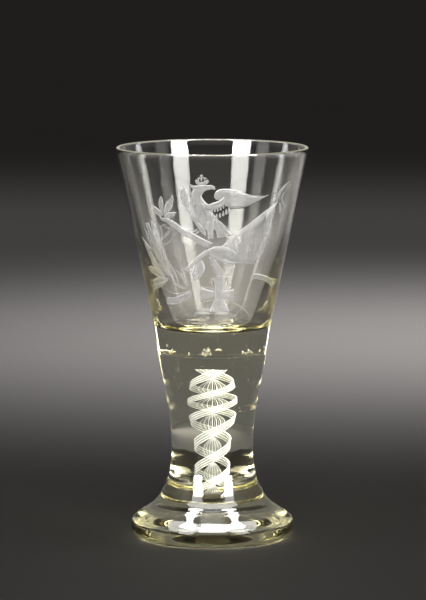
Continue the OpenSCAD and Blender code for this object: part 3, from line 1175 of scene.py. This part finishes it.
@dataclass
class Engraving:
    """Wheel-engraved figures on the front of the bowl. Sizes in millimetres, and the drawing in pixels."""

    bowl: Bowl
    studio: "Studio"
    motifs: tuple[Motif, ...] = (SPRAYS, BANNER, STAFFS, CROSS, EAGLE)
    middle: tuple = (212.5, 300.0)
    picture_h: float = 600.0
    pixels_per_mm: float = 2.22
    rounds: int = 12
    along: int = 25
    across: int = 5
    edge_steps: int = 8
    lift: float = 0.03
    layer: float = 0.02
    layers: int = 6
    skin: float = 0.015
    stroke_l: float = 4.0
    stroke_shift: float = 7.3

    def placed(self, drawn: np.ndarray) -> np.ndarray:
        """Places on the bowl of pixels of the drawing.

        A place is the pixel's offset from the picture's middle times its distance from the camera over the
        focal length. The distance is the camera's own, less how far the bowl's front stands out towards it.
        As the front depends on the place, both are worked out in turn until they settle.

        Args:
            drawn: Pixels across and down.

        Returns:
            Places across and up.
        """
        tilt = math.radians(self.studio.pitch)
        aim, distance = self.studio.aim_z / MM, self.studio.distance / MM
        focal = self.studio.lens / self.studio.sensor * self.picture_h
        right, up = drawn[..., 0] - self.middle[0], self.middle[1] - drawn[..., 1]
        x, z = right / self.pixels_per_mm, aim + up / self.pixels_per_mm
        for _ in range(self.rounds):
            front = np.sqrt(self.bowl.radius_at(z) ** 2 - x**2)
            away = distance - front * math.cos(tilt) - (z - aim) * math.sin(tilt)
            x = right * away / focal
            z = aim + (up * away / focal + front * math.sin(tilt)) / math.cos(tilt)
        return np.stack([x, z], axis=-1)

    def cuts(self, rows: tuple, shape: Cut) -> np.ndarray:
        """Flat sheets of a set of cuts.

        The middle line at u is start + (end - start) u, moved to the left by 4 u (1 - u) times the bend. A
        sheet's point lies beside it, square to the line, by up to half the width.

        Args:
            rows: The cuts.
            shape: Their outline.

        Returns:
            Points across and up, by cut, place along and place across.
        """
        rows = np.array(rows, float)[:, None]
        start, end = self.placed(rows[..., 0:2]), self.placed(rows[..., 2:4])
        bend, width = rows[..., 4:5], rows[..., 5:6] / self.pixels_per_mm
        u = np.linspace(0, 1, self.along)[None, :, None]
        v = np.linspace(-0.5, 0.5, self.across)[None, None, :, None]
        way = end - start
        left = np.stack([-way[..., 1], way[..., 0]], axis=-1)
        line = start + way * u + 4 * u * (1 - u) * bend * left
        slope = way + 4 * (1 - 2 * u) * bend * left
        square = np.stack([-slope[..., 1], slope[..., 0]], axis=-1)
        square = square / np.linalg.norm(slope, axis=-1, keepdims=True)
        return line[:, :, None] + (square * width * shape.width(u))[:, :, None] * v

    def edge(self, points: tuple) -> np.ndarray:
        """Equally spaced points on a smooth curve through the points of an edge.

        Args:
            points: Pixels across and down, in turn.

        Returns:
            One row for each place along a sheet.
        """
        curve = finer(self.placed(np.array(points, float).reshape(-1, 2)), self.edge_steps)
        far = np.concatenate([[0], np.cumsum(np.linalg.norm(np.diff(curve, axis=0), axis=1))])
        u = np.linspace(0, far[-1], self.along)
        return np.stack([np.interp(u, far, curve[:, 0]), np.interp(u, far, curve[:, 1])], axis=1)

    def field_sheet(self, first: tuple, second: tuple) -> np.ndarray:
        """Flat sheet ruled straight from one edge to the edge across from it, which is on its left.

        Args:
            first: Points of one edge.
            second: Points of the other edge.

        Returns:
            Points across and up, by place along and place across.
        """
        a, b = self.edge(first), self.edge(second)
        way, over = a[-1] - a[0], (b - a).mean(axis=0)
        if way[0] * over[1] < way[1] * over[0]:
            a, b = b, a
        v = np.linspace(0, 1, self.across)[None, :, None]
        return a[:, None] * (1 - v) + b[:, None] * v

    def wrapped(self, sheets: np.ndarray, low: int) -> Surface:
        """Lays flat sheets around the bowl.

        A point x across at height z goes to the angle whose sine is x / r, with r the bowl's outer radius
        there. It stands proud by a few hundredths, more for each next sheet, so that sheets don't touch.

        Args:
            sheets: Points across and up, by sheet, place along and place across.
            low: Number of sheets that lie under the others.

        Returns:
            The sheets as one surface, with u along and v across each, and u moved on from sheet to sheet.
        """
        order = np.arange(len(sheets))
        x, z = sheets[..., 0], sheets[..., 1]
        step = order % self.layers + np.where(order < low, 0, self.layers)
        r = self.bowl.radius_at(z)
        turn = np.arcsin(np.clip(x / r, -1, 1))
        r = r + self.lift + self.layer * step[:, None, None]
        points = np.stack([r * np.sin(turn), -r * np.cos(turn), z], axis=-1)
        n, i, j = np.meshgrid(order, np.arange(self.along - 1), np.arange(self.across - 1), indexing="ij")
        corner = (n * self.along + i) * self.across + j
        quads = np.stack([corner, corner + self.across, corner + self.across + 1, corner + 1], axis=-1)
        middle = sheets[:, :, self.across // 2]
        length = np.linalg.norm(np.diff(middle, axis=1), axis=2).sum(axis=1) / self.stroke_l
        u = order[:, None] * self.stroke_shift + length[:, None] * np.linspace(0, 1, self.along)
        uv = np.stack(np.broadcast_arrays(u[..., None], np.linspace(0, 1, self.across)), axis=-1)
        return Surface(points.reshape(-1, 3) * MM, quads.reshape(-1, 4), uv=uv.reshape(-1, 2))

    def figure(self, motif: Motif) -> Object:
        """Makes one figure as a thin matt skin, with its fields under its cuts."""
        sets = ((motif.leaves, Cut.LEAF), (motif.tears, Cut.TEAR), (motif.bars, Cut.BAR))
        sheets = [np.stack([self.field_sheet(*sides) for sides in motif.fields])]
        sheets += [self.cuts(rows, shape) for rows, shape in sets if rows]
        frost = EngravedFrost("matt_" + motif.name, motif.cover, motif.edge_cover).material()
        surface = self.wrapped(np.concatenate(sheets), len(motif.fields))
        made = add_piece(motif.name, surface, frost)
        skin = made.modifiers.new("skin", "SOLIDIFY")
        skin.thickness, skin.offset = self.skin * MM, -1.0
        return made

    def build(self) -> list[Object]:
        """Makes every figure."""
        return [self.figure(motif) for motif in self.motifs]


# Stage

AIM_Z = 0.1095


class Lit(Enum):
    """Group of pieces that a lamp lights."""

    ABOVE_FOOT = "lit_above_foot"
    GOBLET = "lit_goblet"
    BOWL = "lit_bowl"
    FOOT = "lit_foot"
    STEM = "lit_stem"

    def takes(self, name: str) -> bool:
        """Whether a piece of that name is in the group. The stem's group has the foot in it too."""
        foot = name == "clear_foot"
        lower = foot or name == "clear_stem"
        taken = {Lit.ABOVE_FOOT: not foot, Lit.BOWL: not lower, Lit.FOOT: foot, Lit.STEM: lower}
        return taken.get(self, True)

    def collection(self, pieces: list[Object]) -> bpy.types.Collection:
        """The group's pieces, as a new collection."""
        made = bpy.data.collections.new(self.value)
        for piece in pieces:
            if self.takes(piece.name):
                made.objects.link(piece)
        return made


@dataclass(frozen=True)
class Lamp:
    """Soft lamp that the camera can't see. Metres and degrees.

    It faces a point, by default on the goblet's axis, from an angle to the right of the camera, an angle
    above and a distance. The radiance is the brightness of its face.
    """

    name: str
    side: float
    rise: float
    away: float
    size: tuple
    radiance: float
    shape: str = "RECTANGLE"
    aim: tuple = (0.0, 0.0, AIM_Z)
    spread: float = 180.0

    def build(self) -> Object:
        """Puts the lamp in its place. Its power is pi times its area times its radiance."""
        lamp = bpy.data.lights.new(self.name, "AREA")
        lamp.shape = self.shape
        lamp.size, lamp.size_y = self.size
        lamp.energy = math.pi * self.size[0] * self.size[1] * self.radiance
        lamp.spread = math.radians(self.spread)
        made = put_in_scene(self.name, lamp)
        s, r = math.radians(self.side), math.radians(self.rise)
        way = (math.sin(s) * math.cos(r), -math.cos(s) * math.cos(r), math.sin(r))
        made.location = np.array(self.aim) + self.away * np.array(way)
        made.rotation_euler = (math.pi / 2 - r, 0, s)
        made.visible_camera = False
        return made


def ring(name: str, sides: dict[str, float], *look: object) -> tuple[Lamp, ...]:
    """Like lamps at several sides, each with its side before its name."""
    return tuple(Lamp(side + name, angle, *look) for side, angle in sides.items())


def foot_card(name: str, side: float, radiance: float) -> Lamp:
    """Small lamp that hangs flat above the front of the foot, at an angle to the right of the middle."""
    radius, height, size = 0.041, 0.022, (0.022, 0.021)
    turn = math.radians(side)
    below = (radius * math.sin(turn), -radius * math.cos(turn), 0.0)
    return Lamp(name, side, 90.0, height, size, radiance, aim=below)


def pool(name: str, x: float, y: float, size: tuple, radiance: float, spread: float) -> Lamp:
    """Narrow lamp that hangs flat a metre above a place on the floor."""
    return Lamp(name, 0.0, 90.0, 1.0, size, radiance, aim=(x, y, 0.0), spread=spread)


FOOT_CARDS = (
    foot_card("left_foot_card", -30.0, 7.0),
    foot_card("foot_card", 0.0, 16.0),
    foot_card("right_foot_card", 30.0, 7.0),
)
BEHIND = {"": 180.0, "right_": 120.0, "left_": -120.0}
SOFTBOXES = {
    Lit.ABOVE_FOOT: (
        Lamp("right_softbox", 44.5, 27.0, 1.5, (0.55, 1.1), 39.0),
        Lamp("left_softbox", -39.5, 27.0, 1.5, (0.6, 1.1), 39.0),
    ),
    Lit.GOBLET: (
        *ring("top_softbox", {"right_": 118.0, "left_": -118.0}, 74.0, 1.3, (0.8, 0.5), 18.0, "ELLIPSE"),
        Lamp("front_top_softbox", 0.0, 66.0, 1.2, (2.0, 0.5), 8.0),
        Lamp("right_side_card", 70.0, 27.0, 1.5, (0.45, 1.1), 0.9),
        Lamp("left_side_card", -70.0, 27.0, 1.5, (0.45, 1.1), 1.5),
        Lamp("overhead", 0.0, 80.0, 1.6, (1.6, 1.6), 1.6),
    ),
    Lit.BOWL: (
        *ring("fill", {"right_": 110.0, "left_": -108.0}, 14.0, 1.3, (0.2, 1.0), 5.0),
        *ring("back_glow", BEHIND, 7.5, 1.25, (1.443, 0.37), 0.12),
    ),
    Lit.FOOT: (
        Lamp("right_foot_softbox", 44.5, 27.0, 1.5, (0.55, 1.1), 8.0),
        Lamp("left_foot_softbox", -39.5, 27.0, 1.5, (0.6, 1.1), 8.0),
        Lamp("foot_top_softbox", 0.0, 66.0, 1.2, (2.0, 0.5), 22.0),
    ),
    Lit.STEM: (
        *ring("low_fill", {"right_": 90.0, "left_": -90.0}, 14.0, 1.3, (0.45, 1.0), 0.45),
        *ring("back_fill", BEHIND, 0.0, 0.2, (0.231, 0.5), 0.114),
    ),
}
POOLS = (
    pool("floor_pool", 0.52, 0.67, (1.4, 0.35), 0.87, 50.0),
    pool("far_floor_pool", 0.4, 1.35, (2.4, 0.5), 0.09, 62.0),
    pool("front_floor_pool", 0.1, -0.3, (2.4, 0.5), 0.045, 62.0),
)


@dataclass
class Studio:
    """Floor, lights and camera. Metres and degrees, and millimetres for the lens."""

    distance: float = 1.742
    pitch: float = 7.14
    aim_x: float = 0.0003
    aim_z: float = AIM_Z
    lens: float = 228.0
    sensor: float = 36.0
    clip: tuple = (0.05, 60.0)
    floor_r: float = 9.0
    floor_t: float = 0.0006
    floor_gap: float = 0.00002
    floor_columns: int = 96
    room: tuple = (0.021, 0.0205, 0.02, 1.0)
    bounces: int = 24
    glossy_bounces: int = 12

    def floor(self, finish: PaleFloor) -> None:
        """Large pale disc just below the goblet."""
        low, high = -(self.floor_t + self.floor_gap), -self.floor_gap
        outline = np.array([[0, low], [self.floor_r, low], [self.floor_r, high], [0, high]])
        disc = revolved(outline / MM, self.floor_columns)
        mesh = bpy.data.meshes.new("floor")
        mesh.from_pydata(disc.points.tolist(), [], disc.faces())
        mesh.materials.append(finish.material())
        made = put_in_scene("floor", mesh)

    def lights(self, pieces: list[Object]) -> None:
        """Lamps around the goblet, each for a group of its pieces, soft pools on the floor and a dim room."""
        cards = [card.build() for card in FOOT_CARDS]
        for lit, softboxes in SOFTBOXES.items():
            group = lit.collection(pieces)
            lamps = [softbox.build() for softbox in softboxes]
            for lamp in lamps + cards if lit is Lit.FOOT else lamps:
                lamp.light_linking.receiver_collection = group
        for lamp in POOLS:
            lamp.build()
        world = bpy.data.worlds.new("dim_room")
        world.use_nodes = True
        world.node_tree.nodes["Background"].inputs["Color"].default_value = self.room
        bpy.context.scene.world = world

    def camera(self) -> None:
        """Long lens at the photograph's height, aimed at a point close to the axis."""
        data = bpy.data.cameras.new("camera")
        data.lens = self.lens
        data.sensor_width = self.sensor
        data.clip_start, data.clip_end = self.clip
        made = put_in_scene("camera", data)
        p = math.radians(self.pitch)
        made.location = (self.aim_x, -self.distance * math.cos(p), self.aim_z + self.distance * math.sin(p))
        made.rotation_euler = (math.pi / 2 - p, 0, 0)
        bpy.context.scene.camera = made

    def settings(self) -> None:
        """Enough bounces for thick glass, and plain colours."""
        scene = bpy.context.scene
        scene.view_settings.view_transform = "Standard"
        scene.cycles.max_bounces = self.bounces
        scene.cycles.transmission_bounces = self.bounces
        scene.cycles.transparent_max_bounces = self.bounces
        scene.cycles.glossy_bounces = self.glossy_bounces
        scene.cycles.caustics_reflective = False
        scene.cycles.caustics_refractive = False

    def build(self, pieces: list[Object]) -> None:
        """Sets the whole stage around the finished pieces."""
        self.floor(PaleFloor())
        self.lights(pieces)
        self.camera()
        self.settings()


def main() -> None:
    """Builds the goblet from the lip down, then the stage, logging each piece's face count."""
    logging.basicConfig(level=logging.INFO, format="%(message)s")
    bowl, studio = Bowl(), Studio()
    glass = ClearGlass("olive_clear_glass", bowl).material()
    pieces = [bowl.build(glass), Stem().build(glass), Foot().build(glass)]
    pieces += Twist().build(WhiteGlass())
    pieces += Engraving(bowl, studio).build()
    studio.build(pieces)


if __name__ == "__main__":
    main()
